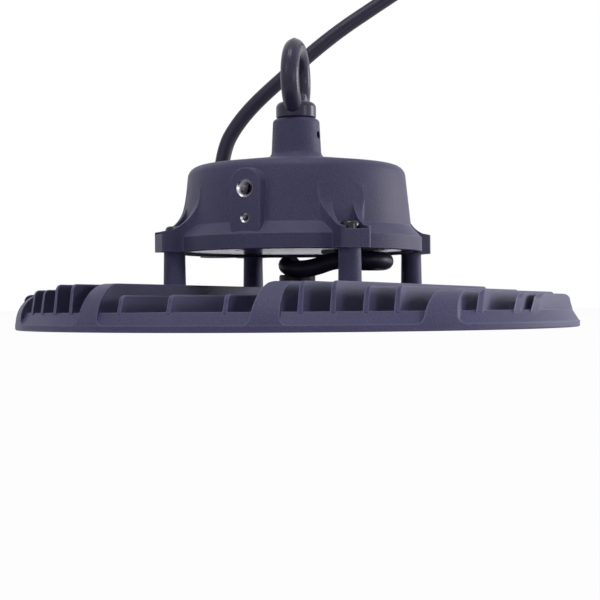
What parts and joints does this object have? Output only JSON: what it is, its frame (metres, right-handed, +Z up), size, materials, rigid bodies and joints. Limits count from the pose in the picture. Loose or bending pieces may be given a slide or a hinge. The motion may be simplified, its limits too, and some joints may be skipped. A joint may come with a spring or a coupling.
{
  "type": "high_bay_light",
  "caption": "Round high bay light with parallel heat sink fins, a driver housing on four posts, an eye bolt for hanging and a supply cord with its connector.",
  "frame": {"origin": "centre of the heat sink's foot, on the plane it rests on", "axes": "+Z up along the eye bolt, fins run along Y, bracket pads face -Y and +Y"},
  "size_m": [0.3, 0.3, 0.2321],
  "materials": {
    "casting_coat": "fine matte powder coat",
    "thermal_pad": "matte",
    "board_white": "white solder mask",
    "chip_yellow": "phosphor gel",
    "screw_steel": "plain",
    "gasket_rubber": "matte",
    "lens_clear": "clear polycarbonate",
    "cover_grey": "satin",
    "board_green": "solder mask",
    "ferrite_dark": "ferrite and tape",
    "copper_wound": "enamelled wire",
    "can_sleeve": "sleeved can",
    "terminal_plastic": "moulded",
    "screw_black": "glossy black",
    "eye_coat": "glossy dark coat",
    "gland_black": "moulded nylon",
    "cable_black": "smooth jacket",
    "cord_dark": "smooth jacket",
    "pin_insert": "moulded insert with pins"
  },
  "bodies": {
    "root": {"heat_sink": "casting_coat", "thermal_pad": "thermal_pad", "light_board": "board_white", "light_chips": "chip_yellow", "board_screws": "screw_steel", "lens_gasket": "gasket_rubber", "lens_plate": "lens_clear", "lens_screws": "screw_steel", "driver_housing": "casting_coat", "housing_cover": "cover_grey", "cover_gasket": "gasket_rubber", "cover_screws": "screw_steel", "driver_board": "board_green", "driver_board_screws": "screw_steel", "driver_transformer": "ferrite_dark", "driver_choke": "copper_wound", "driver_capacitors": "can_sleeve", "driver_terminals": "terminal_plastic", "housing_washers": "screw_black", "housing_screws": "screw_black", "eye_bolt": "eye_coat", "neck_set_screw": "screw_black", "inlet_gland_body": "gland_black", "inlet_gland_nut": "gland_black", "inlet_gland_seal": "gasket_rubber", "outlet_gland_body": "gland_black", "outlet_gland_nut": "gland_black", "outlet_gland_seal": "gasket_rubber", "mains_gland_body": "gland_black", "mains_gland_nut": "gland_black", "mains_gland_seal": "gasket_rubber", "output_cable": "cable_black", "mains_cord": "cord_dark", "connector_grip": "gland_black", "connector_ring": "gland_black", "connector_insert": "pin_insert"}
  },
  "joints": []
}
